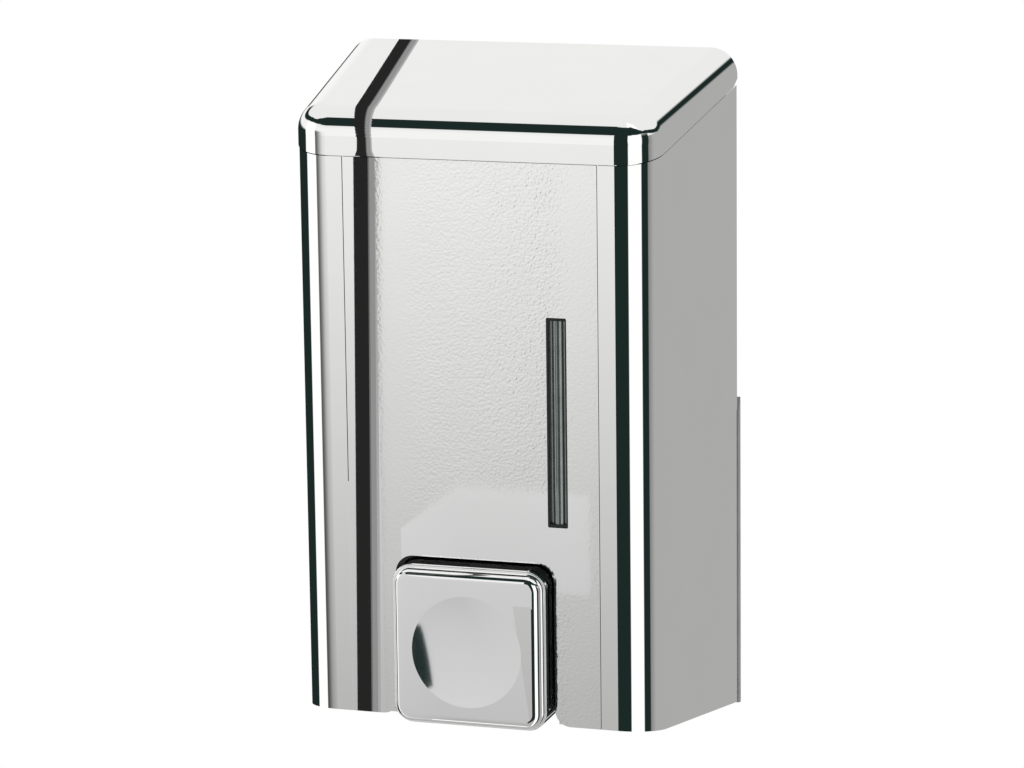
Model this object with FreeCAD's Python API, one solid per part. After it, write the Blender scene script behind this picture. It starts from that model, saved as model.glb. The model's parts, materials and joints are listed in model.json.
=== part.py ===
import FreeCAD, Part
import math
import os

from FreeCAD import Vector

# Wall mounted soap dispenser. Millimetres, +Z up, +X right, +Y into the wall.
# The wall is the plane y = 0 and the origin is the centre of the wall screw pattern in it.

# Housing: a block that grows a little towards the wall.
FRONT_WIDTH = 100.0
WALL_WIDTH = 113.0
DEPTH = 67.0
FRONT_HEIGHT = 165.0
TOP_RISE = 12.0
BOTTOM_DROP = 9.0
SCREW_CENTRE_HEIGHT = 85.0
CORNER_RADIUS = 11.0
LID_EDGE_RADIUS = 7.5
LID_SKIRT = 11.25
SEAM_RISE = 1.7
LID_WALL = 2.0
LID_OVERHANG = 0.25
SEAM_GAP = 0.35
COVER_WALL = 2.5
REAR_STEP = 2.0
EDGE_BREAK = 0.3

# Lip of the cover that the lid's skirt closes over.
LIP_WALL = 1.5
LIP_RISE = 3.0
LIP_ROOT = 4.0
LIP_GAP = 0.4

# Decorative lines and the level window in the cover's front.
GROOVE_X = 35.4
GROOVE_WIDTH = 0.45
GROOVE_DEPTH = 0.3
WINDOW_X = 23.7
WINDOW_WIDTH = 5.6
WINDOW_HEIGHT = 57.0
WINDOW_BASE = 55.2
WINDOW_CORNER = 0.4
LENS_GAP = 0.15
LENS_BAR_RADIUS = 1.9
LENS_RECESS = 0.5
LENS_FLANGE = 2.2
LENS_FLANGE_THICKNESS = 1.2

# Wall plate.
PLATE_THICKNESS = 3.0
FLANGE_GAP = 0.2
FLANGE_TOP = 75.0
FLANGE_CHAMFER = 4.0
PLATE_SIDE_GAP = 0.5
PLATE_TOP_DROP = 3.0
PLATE_RIM = 2.5
PLATE_RIM_DEPTH = 6.0
PLATE_RIM_DROP = 18.0
SHELF_X = 32.0
SHELF_WIDTH = 14.0
SHELF_LENGTH = 14.0
SHELF_THICKNESS = 3.0
SHELF_GAP = 0.3
SCREW_SPACING_X = 70.0
SCREW_SPACING_Z = 90.0
SCREW_HOLE_RADIUS = 2.5
SCREW_BOSS_RADIUS = 6.0
SCREW_BOSS_HEIGHT = 1.0
LEDGE_LENGTH = 16.0
LEDGE_WIDTH = 14.0
LEDGE_THICKNESS = 4.0
LEDGE_X = 38.0
LEDGE_GAP = 0.1

# Lid hinge.
HINGE_BACK = 4.6
HINGE_BELOW = 4.5
HINGE_X = 33.0
KNUCKLE_WIDTH = 8.0
KNUCKLE_RADIUS = 2.1
PIN_RADIUS = 1.0
PIN_GAP = 0.05
EAR_THICKNESS = 3.0
EAR_GAP = 0.4
ARM_DROP = 6.9
ARM_THICKNESS = 3.0
NOTCH_GAP = 0.6
HEEL_LENGTH = 3.4
HEEL_HEIGHT = 1.5
HEEL_FLARE = 0.4

# Push button.
BUTTON_HEIGHT = 21.9
CAP_WIDTH = 41.5
CAP_TALL = 42.5
CAP_LEDGE = 0.75
CAP_PROUD = 7.7
CAP_STEP = 2.7
CAP_DEPTH = 14.0
CAP_CORNER = 4.5
CAP_FRONT_FILLET = 2.4
CAP_WALL = 1.8
CAP_FRONT_WALL = 2.0
DIMPLE_RADIUS = 15.4
DIMPLE_DEPTH = 2.8
DIMPLE_DROP = 0.7
BUTTON_TRAVEL = 7.0
NOTCH_SIDE_GAP = 0.9
NOTCH_TOP_GAP = 1.1
NOTCH_CORNER = 5.0
NOTCH_FOOT = 4.2
UNDERSIDE_MARGIN = 1.5
CARRIER_GAP = 0.05
CARRIER_PLATE = 2.5
CARRIER_SETBACK = 2.0
CARRIER_BOSS_RADIUS = 5.5
CARRIER_BOSS_LENGTH = 5.0
GUIDE_GAP = 0.5
GUIDE_WALL = 1.6
GUIDE_DEPTH = 14.0
GUIDE_FOOT = 3.5

# Tank.
TANK_TOP_GAP = 2.5
TANK_WALL = 1.8
TANK_SIDE_GAP = 1.2
TANK_FRONT_GAP = 3.5
TANK_REAR_GAP = 4.5
TANK_OVER_GUIDE = 2.0
TANK_CORNER = 6.0
TANK_RIM_WIDTH = 1.5
TANK_RIM_HEIGHT = 2.5
NECK_RADIUS = 9.0
NECK_BORE = 6.5
NECK_LENGTH = 10.0
NUT_RADIUS = 12.5
NUT_TOP_GAP = 2.5
NUT_OVER_BRACKET = 2.0
NUT_LIP = 1.8
NUT_RIBS = 18
NUT_RIB_RADIUS = 0.7
WASHER_THICKNESS = 1.5
WASHER_SIDE_GAP = 0.2

# Pump.
PUMP_BORE = 7.0
PUMP_WALL = 4.5
PORT_GAP = 0.8
PLUG_SETBACK = 6.5
ROD_RADIUS = 3.0
GLAND_LENGTH = 3.0
GLAND_COLLAR = 1.0
GLAND_COLLAR_WALL = 1.5
RUNNING_GAP = 0.05
HEAD_LENGTH = 5.0
HEAD_GAP = 0.4
HEAD_START_GAP = 0.5
SEAL_RADIUS = 0.95
SEAL_END_GAP = 0.2
PORT_RADIUS = 2.2
INLET_RADIUS = 7.4
INLET_FLANGE_THICKNESS = 2.0
INLET_BORE = 5.0
INLET_SHOULDER_BORE = 4.3
SEAT_THICKNESS = 1.8
SEAT_HOLE_RADIUS = 0.8
SEAT_HOLES = 6
UMBRELLA_RADIUS = 3.6
UMBRELLA_THICKNESS = 0.6
UMBRELLA_STEM = 0.9
UMBRELLA_KNOB_RISE = 1.0
STEM_GAP = 0.1
SEAT_TOP_GAP = 0.1
PLUG_LENGTH = 9.0
PLUG_FLANGE_WALL = 3.0
PLUG_FLANGE = 3.0
OUTLET_RADIUS = 6.5
OUTLET_LENGTH = 12.0
VALVE_BORE = 3.5
VALVE_SEAT_WALL = 2.9
VALVE_SEAT_RADIUS = 1.8
BALL_RADIUS = 2.75
BALL_GAP = 0.05
NOZZLE_WALL = 1.6
NOZZLE_COLLAR = 7.0
NOZZLE_FLOOR = 2.0
NOZZLE_SPOUT = 5.5
NOZZLE_SPOUT_RADIUS = 5.0
NOZZLE_TIP_RADIUS = 3.8
NOZZLE_BORE = 1.8
SPRING_WIRE = 0.5
SPRING_SIDE_GAP = 0.1
SPRING_TURNS = 5.0
SPRING_SPARE = 2.25
VALVE_SPRING_WIRE = 0.22
VALVE_SPRING_RADIUS = 2.2
VALVE_SPRING_TURNS = 5.0
SPRING_SEAT_GAP = 0.05
POINTS_PER_TURN = 12

# Pump bracket and its screws, and the screws under the cover.
BRACKET_THICKNESS = 2.5
BRACKET_WIDTH = 48.0
BRACKET_HEIGHT = 28.0
BRACKET_WALL = 2.2
BRACKET_GRIP = 5.5
BRACKET_SCREW_X = 19.0
BRACKET_CORNER = 3.0
BRACKET_STEP = 0.5
SMALL_SCREW_RADIUS = 1.6
SMALL_SCREW_HOLE = 1.65
SMALL_HEAD_RADIUS = 3.2
HEAD_SIDE_GAP = 0.2
SMALL_HEAD_HEIGHT = 2.0
COVER_SCREW_LENGTH = 9.0
SLOT_WIDTH = 0.8
SLOT_DEPTH = 0.9

# Derived heights and slopes.
BOTTOM_Z = -SCREW_CENTRE_HEIGHT
SIDE_SLOPE = (WALL_WIDTH - FRONT_WIDTH) / (2 * DEPTH)
TOP_SLOPE = TOP_RISE / DEPTH
SEAM_SLOPE = TOP_SLOPE + SEAM_RISE / DEPTH
BOTTOM_SLOPE = BOTTOM_DROP / DEPTH
SIDE_STRETCH = math.hypot(1, SIDE_SLOPE)
TOP_STRETCH = math.hypot(1, TOP_SLOPE)
BOTTOM_STRETCH = math.hypot(1, BOTTOM_SLOPE)
BUTTON_Z = BOTTOM_Z + BUTTON_HEIGHT
COVER_INSIDE = LID_OVERHANG + COVER_WALL
COVER_INNER_FRONT = -DEPTH + COVER_INSIDE
FAR = 2 * (DEPTH + FRONT_HEIGHT)
NEAR = FAR / 10
SAME = 0.01
PUMP_RADIUS = PUMP_BORE + PUMP_WALL
CAP_HALF_WIDTH = CAP_WIDTH / 2 + CAP_LEDGE
CAP_HALF_HEIGHT = CAP_TALL / 2 + CAP_LEDGE
NOTCH_HALF = CAP_HALF_WIDTH + NOTCH_SIDE_GAP
NOTCH_TOP_Z = BUTTON_Z + CAP_HALF_HEIGHT + NOTCH_TOP_GAP


def half_width(y, inset=0.0):
    return WALL_WIDTH / 2 + SIDE_SLOPE * y - inset * SIDE_STRETCH


def top_z(y, inset=0.0):
    return BOTTOM_Z + FRONT_HEIGHT + TOP_RISE + TOP_SLOPE * y - inset * TOP_STRETCH


def bottom_z(y, inset=0.0):
    return BOTTOM_Z - BOTTOM_DROP - BOTTOM_SLOPE * y + inset * BOTTOM_STRETCH


def seam_z(y):
    """The line where the lid's skirt ends; the skirt is a little shorter at the wall."""
    return top_z(y, LID_SKIRT) + SEAM_RISE * (1 + y / DEPTH)


HINGE_Y = -REAR_STEP - HINGE_BACK
HINGE_Z = top_z(HINGE_Y, HINGE_BELOW)


def box(x0, x1, y0, y1, z0, z1):
    return Part.makeBox(x1 - x0, y1 - y0, z1 - z0, Vector(x0, y0, z0))


def rod(start, direction, radius, length):
    return Part.makeCylinder(radius, length, start, direction)


def cone(start, direction, radius, end_radius, length):
    return Part.makeCone(radius, end_radius, length, start, direction)


def upright(radius, z0, z1, y, x=0.0):
    return rod(Vector(x, y, z0), Vector(0, 0, 1), radius, z1 - z0)


def lengthwise(radius, y0, y1, z, x=0.0):
    return rod(Vector(x, y0, z), Vector(0, 1, 0), radius, y1 - y0)


def hull(ends):
    """A block with flat faces between two upright rectangles, each (y, half width, low z, high z)."""
    corners = []
    for y, half, low, high in ends:
        rectangle = [(-half, low), (half, low), (half, high), (-half, high)]
        corners.append([Vector(x, y, z) for x, z in rectangle])
    front, rear = corners
    rings = [front, rear]
    for i in range(4):
        j = (i + 1) % 4
        rings.append([front[i], front[j], rear[j], rear[i]])
    faces = [Part.Face(Part.makePolygon(ring + ring[:1])) for ring in rings]
    return Part.makeSolid(Part.makeShell(faces))


def housing(inset, rear_y=0.0, front_inset=None):
    """The housing's outline drawn in by inset, from its front to the plane y = rear_y."""
    front_y = -DEPTH + (inset if front_inset is None else front_inset)
    ends = []
    for y in (front_y, rear_y):
        ends.append((y, half_width(y, inset), bottom_z(y, inset), top_z(y, inset)))
    return hull(ends)


def upright_front_edges(shape):
    """The two edges that run up the front's left and right sides."""
    front_y = shape.BoundBox.YMin
    found = []
    for edge in shape.Edges:
        ends = [vertex.Point for vertex in edge.Vertexes]
        at_front = all(abs(point.y - front_y) < SAME for point in ends)
        if at_front and abs(ends[0].x - ends[-1].x) < SAME:
            found.append(edge)
    return found


def round_front(shape, radius):
    return shape.makeFillet(radius, upright_front_edges(shape))


def top_edges(shape, inset):
    """The edges round the sloping top, apart from the one at the wall."""
    rear_y = shape.BoundBox.YMax
    found = []
    for edge in shape.Edges:
        middle = edge.valueAt((edge.FirstParameter + edge.LastParameter) / 2)
        on_top = all(abs(v.Z - top_z(v.Y, inset)) < SAME for v in edge.Vertexes)
        if on_top and abs(middle.z - top_z(middle.y, inset)) < SAME and middle.y < rear_y - SAME:
            found.append(edge)
    return found


def round_top(shape, inset, radius):
    return shape.makeFillet(radius, top_edges(shape, inset))


def above_seam(offset):
    """Everything over the sloping plane that lies offset above the lid's seam."""
    ends = []
    for y in (-FAR, FAR):
        ends.append((y, FAR, seam_z(y) + offset * TOP_STRETCH, FAR * 2))
    return hull(ends)


def rounded_plate(width, height, y0, y1, centre_z, radius, centre_x=0.0):
    """An upright rectangle with rounded corners, seen from the front, y0 to y1 thick."""
    half = width / 2
    block = box(centre_x - half, centre_x + half, y0, y1, centre_z - height / 2, centre_z + height / 2)
    edges = [e for e in block.Edges if abs(e.Vertexes[0].Y - e.Vertexes[-1].Y) > SAME]
    return block.makeFillet(radius, edges)


def helix_point(turn, radius, pitch):
    angle = 2 * math.pi * turn
    return Vector(radius * math.cos(angle), radius * math.sin(angle), pitch * turn)


def spring(start, direction, length, radius, wire, turns):
    """A coil of round wire that runs along direction from start."""
    pitch = (length - 2 * wire) / turns
    count = int(turns * POINTS_PER_TURN)
    points = [helix_point(i / POINTS_PER_TURN, radius, pitch) for i in range(count + 1)]
    curve = Part.BSplineCurve()
    curve.interpolate(points)
    path = curve.toShape()
    tangent = path.tangentAt(path.FirstParameter)
    section = Part.Wire(Part.makeCircle(wire, points[0], tangent))
    body = Part.Wire([path]).makePipeShell([section], True, False)
    body.translate(Vector(0, 0, wire))
    turn = FreeCAD.Rotation(Vector(0, 0, 1), direction)
    body.Placement = FreeCAD.Placement(start, turn).multiply(body.Placement)
    return body


def screw(head_seat, direction, length):
    """A cheese-head screw. Its shank runs along direction from the head's seat."""
    shank = rod(head_seat, direction, SMALL_SCREW_RADIUS, length)
    back = direction * -SMALL_HEAD_HEIGHT
    head = rod(head_seat + back, direction, SMALL_HEAD_RADIUS, SMALL_HEAD_HEIGHT)
    reach = SMALL_HEAD_RADIUS + 1
    slot = Part.makeBox(2 * reach, SLOT_WIDTH, SLOT_DEPTH, Vector(-reach, -SLOT_WIDTH / 2, 0))
    turn = FreeCAD.Rotation(Vector(0, 0, 1), direction)
    slot.Placement = FreeCAD.Placement(head_seat + back, turn)
    return head.fuse(shank).cut(slot).removeSplitter()


def window_centre_z():
    return BOTTOM_Z + WINDOW_BASE + WINDOW_HEIGHT / 2


def window_cut():
    return rounded_plate(WINDOW_WIDTH, WINDOW_HEIGHT, -DEPTH - 1, COVER_INNER_FRONT + 1,
                         window_centre_z(), WINDOW_CORNER, WINDOW_X)


def notch_cut():
    """The opening for the button: an arch at the front, with a wide mouth under it."""
    half = NOTCH_HALF
    top = NOTCH_TOP_Z
    foot = BOTTOM_Z - 1
    y0 = -DEPTH - 1
    y1 = COVER_INNER_FRONT + 1
    arch = box(-half, half, y0, y1, foot, top)
    upper = [e for e in arch.Edges
             if abs(e.Vertexes[0].Y - e.Vertexes[-1].Y) > SAME and e.Vertexes[0].Z > top - SAME]
    arch = arch.makeFillet(NOTCH_CORNER, upper)
    start_z = bottom_z(-DEPTH, LID_OVERHANG)
    for side in (-1, 1):
        centre_x = side * (half + NOTCH_FOOT)
        corner = box(min(side * half, centre_x), max(side * half, centre_x), y0, y1,
                     foot, start_z + NOTCH_FOOT)
        corner = corner.cut(lengthwise(NOTCH_FOOT, y0, y1, start_z + NOTCH_FOOT, centre_x))
        arch = arch.fuse(corner)
    mouth_rear = port_y() + NOZZLE_SPOUT_RADIUS + UNDERSIDE_MARGIN
    floor = box(-half, half, y0, mouth_rear, BOTTOM_Z - BOTTOM_DROP - 1,
                BOTTOM_Z + COVER_INSIDE + 1)
    return arch.fuse(floor)


def groove_cuts():
    cuts = []
    for side in (-1, 1):
        x = side * GROOVE_X
        depth = -DEPTH + LID_OVERHANG + GROOVE_DEPTH
        cuts.append(box(x - GROOVE_WIDTH / 2, x + GROOVE_WIDTH / 2, -DEPTH - 1, depth,
                        -FAR, FAR))
    return cuts


def ledge_centre_y():
    return -PLATE_THICKNESS - LEDGE_LENGTH / 2


def cover_screw_seats():
    """Where the heads of the screws under the cover bear, in their counterbores."""
    y = ledge_centre_y()
    z = bottom_z(y, LID_OVERHANG) + SMALL_HEAD_HEIGHT + BOTTOM_SLOPE * SMALL_HEAD_RADIUS
    return [Vector(side * LEDGE_X, y, z) for side in (-1, 1)]


def front_cover():
    outer = housing(LID_OVERHANG, -REAR_STEP)
    outer = round_front(outer, CORNER_RADIUS - LID_OVERHANG)
    inner = housing(COVER_INSIDE, 1.0)
    inner = round_front(inner, CORNER_RADIUS - COVER_INSIDE)
    wall = outer.cut(inner).cut(above_seam(-SEAM_GAP))
    seats = cover_screw_seats()
    for seat in seats:
        pad_top = ledge_bottom_z()
        pad = upright(SMALL_HEAD_RADIUS + COVER_WALL, seat.z - COVER_WALL, pad_top, seat.y, seat.x)
        wall = wall.fuse(pad)
    lip = round_front(housing(LID_WALL + LIP_GAP, -REAR_STEP), CORNER_RADIUS - LID_WALL - LIP_GAP)
    lip_inside = LID_WALL + LIP_GAP + LIP_WALL
    lip = lip.cut(round_front(housing(lip_inside, 1.0), CORNER_RADIUS - lip_inside))
    lip = lip.cut(above_seam(LIP_RISE)).common(above_seam(-LIP_ROOT))
    lip = lip.cut(box(-FAR, FAR, lip_rear_y(), FAR, -FAR, FAR))
    cover = wall.fuse(lip)
    for cut in [notch_cut(), window_cut()] + groove_cuts():
        cover = cover.cut(cut)
    for seat in seats:
        cover = cover.cut(upright(SMALL_HEAD_RADIUS + HEAD_SIDE_GAP, seat.z - NEAR, seat.z, seat.y, seat.x))
        cover = cover.cut(upright(SMALL_SCREW_HOLE, seat.z - 1, seat.z + NEAR, seat.y, seat.x))
    return cover.removeSplitter()


def lip_rear_y():
    """The lip ends in front of the lid's swinging rear corner."""
    return HINGE_Y - LID_SKIRT


def ledge_bottom_z():
    y = -PLATE_THICKNESS - LEDGE_LENGTH
    return bottom_z(y, COVER_INSIDE) + LEDGE_GAP


def knuckle_centres():
    return [side * HINGE_X for side in (-1, 1)]


def lid():
    outer = round_top(round_front(housing(0.0, -REAR_STEP), CORNER_RADIUS), 0.0, LID_EDGE_RADIUS)
    inner = housing(LID_WALL, -REAR_STEP - LID_WALL)
    inner = round_front(inner, CORNER_RADIUS - LID_WALL)
    inner = round_top(inner, LID_WALL, LID_EDGE_RADIUS - LID_WALL)
    keep = above_seam(0.0)
    shell = outer.common(keep).cut(inner)
    heel = math.atan(SEAM_SLOPE)
    for side in (-1, 1):
        rear = -REAR_STEP
        z = seam_z(rear)
        points = [Vector(0, rear - HEEL_LENGTH, z - HEEL_LENGTH * math.tan(heel)),
                  Vector(0, rear + 1, z - 1),
                  Vector(0, rear + 1, z + HEEL_HEIGHT + HEEL_FLARE),
                  Vector(0, rear, z + HEEL_HEIGHT)]
        wedge = Part.Face(Part.makePolygon(points + points[:1])).extrude(Vector(side * FAR, 0, 0))
        shell = shell.cut(wedge)
    for x in knuckle_centres():
        half = KNUCKLE_WIDTH / 2 + NOTCH_GAP
        rear_wall = box(x - half, x + half, -REAR_STEP - LID_WALL - 1, 1,
                        seam_z(0) - LID_SKIRT, top_z(-REAR_STEP - LID_WALL, LID_WALL))
        shell = shell.cut(rear_wall)
    shell = add_ears(shell, inner)
    return shell.removeSplitter()


def ear_spans():
    """The x spans of the lid's hinge ears, two round each knuckle."""
    spans = []
    for x in knuckle_centres():
        inner = KNUCKLE_WIDTH / 2 + EAR_GAP
        spans.append((x - inner - EAR_THICKNESS, x - inner))
        spans.append((x + inner, x + inner + EAR_THICKNESS))
    return spans


def add_ears(shell, inner):
    for x0, x1 in ear_spans():
        foot = HINGE_Z - KNUCKLE_RADIUS
        ear = box(x0, x1, HINGE_Y - KNUCKLE_RADIUS, -REAR_STEP - LID_WALL, HINGE_Z, top_z(0))
        ear = ear.fuse(rod(Vector(x0, HINGE_Y, HINGE_Z), Vector(1, 0, 0), KNUCKLE_RADIUS, x1 - x0))
        web = box(x0, x1, HINGE_Y, -REAR_STEP - LID_WALL, foot, HINGE_Z)
        ear = ear.fuse(web).common(inner)
        shell = shell.fuse(ear)
    for x0, x1 in ear_spans():
        shell = shell.cut(rod(Vector(x0 - 1, HINGE_Y, HINGE_Z), Vector(1, 0, 0),
                              PIN_RADIUS, x1 - x0 + 2))
    return shell


def hinge_pins():
    pins = []
    reach = KNUCKLE_WIDTH / 2 + EAR_GAP + EAR_THICKNESS
    for x in knuckle_centres():
        pins.append(rod(Vector(x - reach, HINGE_Y, HINGE_Z), Vector(1, 0, 0), PIN_RADIUS, 2 * reach))
    return Part.makeCompound(pins)


def plate_top_z():
    return seam_z(-REAR_STEP) - PLATE_TOP_DROP


def hinge_arms():
    arms = []
    for x in knuckle_centres():
        x0 = x - KNUCKLE_WIDTH / 2
        x1 = x + KNUCKLE_WIDTH / 2
        shelf_top = HINGE_Z - ARM_DROP
        shelf = box(x0, x1, HINGE_Y - KNUCKLE_RADIUS, -PLATE_THICKNESS + 1, shelf_top - ARM_THICKNESS,
                    shelf_top)
        post = box(x0, x1, HINGE_Y - KNUCKLE_RADIUS, HINGE_Y + KNUCKLE_RADIUS, shelf_top - ARM_THICKNESS / 2, HINGE_Z)
        back = box(x0, x1, -PLATE_THICKNESS, 0, plate_top_z() - 1, shelf_top)
        knuckle = rod(Vector(x0, HINGE_Y, HINGE_Z), Vector(1, 0, 0), KNUCKLE_RADIUS, x1 - x0)
        arm = shelf.fuse(post).fuse(back).fuse(knuckle)
        arm = arm.cut(rod(Vector(x0 - 1, HINGE_Y, HINGE_Z), Vector(1, 0, 0), PIN_RADIUS + PIN_GAP,
                          x1 - x0 + 2))
        arms.append(arm)
    return arms


def wall_screws():
    places = []
    for side_x in (-1, 1):
        for side_z in (-1, 1):
            places.append((side_x * SCREW_SPACING_X / 2, side_z * SCREW_SPACING_Z / 2))
    return places


def plate_inset():
    return COVER_INSIDE + PLATE_SIDE_GAP


def plate_outline(y0, y1, inset, z_low, z_high):
    """A slab of the housing's outline between two heights."""
    ends = []
    for y in (y0, y1):
        ends.append((y, half_width(y, inset), z_low, z_high))
    return hull(ends)


def wall_plate():
    flange_top = BOTTOM_Z + FLANGE_TOP
    flange_front = -REAR_STEP + FLANGE_GAP
    ends = [(flange_front, half_width(flange_front), bottom_z(flange_front), flange_top),
            (0, half_width(0), bottom_z(0), flange_top + FLANGE_CHAMFER)]
    plate = hull(ends)
    inset = plate_inset()
    plate = plate.fuse(plate_outline(-PLATE_THICKNESS, 0, inset, bottom_z(0, inset), plate_top_z()))
    rim_front = -PLATE_THICKNESS - PLATE_RIM_DEPTH
    rim_low = bottom_z(rim_front, inset)
    rim_high = plate_top_z() - PLATE_RIM_DROP
    rim = plate_outline(rim_front, -PLATE_THICKNESS + 0.5, inset, rim_low, rim_high)
    hollow = plate_outline(rim_front - 1, 0, inset + PLATE_RIM, rim_low - 1, rim_high + 1)
    plate = plate.fuse(rim.cut(hollow))
    for side in (-1, 1):
        ledge_low = ledge_bottom_z()
        ledge = box(side * LEDGE_X - LEDGE_WIDTH / 2, side * LEDGE_X + LEDGE_WIDTH / 2,
                    -PLATE_THICKNESS - LEDGE_LENGTH, -PLATE_THICKNESS + 0.5,
                    ledge_low, ledge_low + LEDGE_THICKNESS)
        plate = plate.fuse(ledge)
    for side in (-1, 1):
        shelf_top = tank_floor_z() - SHELF_GAP
        shelf = box(side * SHELF_X - SHELF_WIDTH / 2, side * SHELF_X + SHELF_WIDTH / 2,
                    -PLATE_THICKNESS - SHELF_LENGTH, -PLATE_THICKNESS + 0.5,
                    shelf_top - SHELF_THICKNESS, shelf_top)
        plate = plate.fuse(shelf)
    for arm in hinge_arms():
        plate = plate.fuse(arm)
    for x, z in wall_screws():
        plate = plate.fuse(lengthwise(SCREW_BOSS_RADIUS, -PLATE_THICKNESS - SCREW_BOSS_HEIGHT, -1, z, x))
    for x, z in wall_screws():
        plate = plate.cut(lengthwise(SCREW_HOLE_RADIUS, -NEAR, 1, z, x))
    for x in bracket_screw_xs():
        plate = plate.cut(lengthwise(SMALL_SCREW_HOLE, -NEAR, 1, BUTTON_Z, x))
    for seat in cover_screw_seats():
        plate = plate.cut(upright(SMALL_SCREW_HOLE, seat.z, seat.z + NEAR, seat.y, seat.x))
    return plate.removeSplitter()


def window_lens():
    width = WINDOW_WIDTH - 2 * LENS_GAP
    height = WINDOW_HEIGHT - 2 * LENS_GAP
    back = COVER_INNER_FRONT
    base = rounded_plate(width, height, -DEPTH + LID_OVERHANG + LENS_RECESS + LENS_BAR_RADIUS / 2, back,
                         window_centre_z(), WINDOW_CORNER - LENS_GAP, WINDOW_X)
    bar_z0 = window_centre_z() - height / 2
    bar_y = -DEPTH + LID_OVERHANG + LENS_RECESS + LENS_BAR_RADIUS
    bar = upright(LENS_BAR_RADIUS, bar_z0, bar_z0 + height, bar_y, WINDOW_X)
    flange = rounded_plate(WINDOW_WIDTH + 2 * LENS_FLANGE, WINDOW_HEIGHT + 2 * LENS_FLANGE, back,
                           back + LENS_FLANGE_THICKNESS, window_centre_z(), LENS_FLANGE / 2, WINDOW_X)
    return base.fuse(bar).fuse(flange).removeSplitter()


def tank_front_y():
    return COVER_INNER_FRONT + TANK_FRONT_GAP


def tank_rear_y():
    return -PLATE_THICKNESS - TANK_REAR_GAP


def tank_block(inset, z_low, z_high):
    """The tank's outline, straight-sided, drawn in by inset."""
    y0 = tank_front_y() + inset
    y1 = tank_rear_y() - inset
    half = half_width(tank_front_y(), COVER_INSIDE + LIP_WALL + TANK_SIDE_GAP) - inset
    block = box(-half, half, y0, y1, z_low, z_high)
    edges = [e for e in block.Edges if abs(e.Vertexes[0].Z - e.Vertexes[-1].Z) > SAME]
    return block.makeFillet(TANK_CORNER - inset, edges)


def pump_front_y():
    spring_solid = SPRING_TURNS * 2 * SPRING_WIRE
    return carrier_plate_y() + BUTTON_TRAVEL + spring_solid + SPRING_SPARE + GLAND_COLLAR


def port_y():
    """The inlet and outlet lie just behind the piston's furthest place."""
    piston_end = head_front_y() + HEAD_LENGTH + BUTTON_TRAVEL
    return piston_end + PORT_RADIUS + PORT_GAP


def tank_floor_z():
    """The tank stands clear of the pump's bracket and of the button's guide."""
    bracket_top = BUTTON_Z + PUMP_RADIUS + RUNNING_GAP + BRACKET_WALL
    stack = NUT_LIP + INLET_FLANGE_THICKNESS + WASHER_THICKNESS + NECK_LENGTH
    over_bracket = bracket_top + NUT_OVER_BRACKET + stack
    over_guide = BUTTON_Z + CAP_HALF_HEIGHT + GUIDE_GAP + GUIDE_WALL + GUIDE_FOOT + TANK_OVER_GUIDE
    return max(over_bracket, over_guide)


def tank_top_z():
    return seam_z(-DEPTH) - TANK_TOP_GAP


def neck_end_z():
    return tank_floor_z() - NECK_LENGTH


def tank():
    low = tank_floor_z()
    high = tank_top_z()
    body = tank_block(0.0, low, high)
    rim = tank_block(-TANK_RIM_WIDTH, high - TANK_RIM_HEIGHT, high)
    rim = rim.common(box(-FAR, FAR, tank_front_y() - TANK_RIM_WIDTH, tank_rear_y(), -FAR, FAR))
    neck = upright(NECK_RADIUS, neck_end_z(), low + 1, port_y())
    shell = body.fuse(rim).fuse(neck)
    shell = shell.cut(tank_block(TANK_WALL, low + TANK_WALL, high + 1))
    shell = shell.cut(upright(NECK_BORE, neck_end_z() - 1, low + TANK_WALL + 1, port_y()))
    return shell.removeSplitter()


def washer_z():
    return neck_end_z() - WASHER_THICKNESS


def outlet_washer():
    ring = upright(NECK_RADIUS - WASHER_SIDE_GAP, washer_z(), neck_end_z(), port_y())
    return ring.cut(upright(NECK_BORE, washer_z() - 1, neck_end_z() + 1, port_y()))


def inlet_flange_z():
    return washer_z() - INLET_FLANGE_THICKNESS


def union_nut():
    top = tank_floor_z() - NUT_TOP_GAP
    low = inlet_flange_z() - NUT_LIP
    nut = upright(NUT_RADIUS, low, top, port_y())
    for i in range(NUT_RIBS):
        angle = 2 * math.pi * i / NUT_RIBS
        x = NUT_RADIUS * math.cos(angle)
        y = port_y() + NUT_RADIUS * math.sin(angle)
        nut = nut.fuse(upright(NUT_RIB_RADIUS, low + 1, top - 1, y, x))
    nut = nut.cut(upright(NECK_RADIUS + RUNNING_GAP, inlet_flange_z(), top + 1, port_y()))
    nut = nut.cut(upright(INLET_RADIUS + RUNNING_GAP, low - 1, top, port_y()))
    return nut.removeSplitter()


def pump_plug_front_y():
    return port_y() + PLUG_SETBACK


def pump_rear_y():
    return pump_plug_front_y() + PLUG_LENGTH


def valve_seat_z():
    return BUTTON_Z - PUMP_BORE - VALVE_SEAT_WALL


def outlet_end_z():
    return BUTTON_Z - PUMP_RADIUS - OUTLET_LENGTH + VALVE_SEAT_WALL


def seat_disc_z():
    """The underside of the inlet valve's seat disc."""
    return washer_z() - SEAT_THICKNESS


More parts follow.
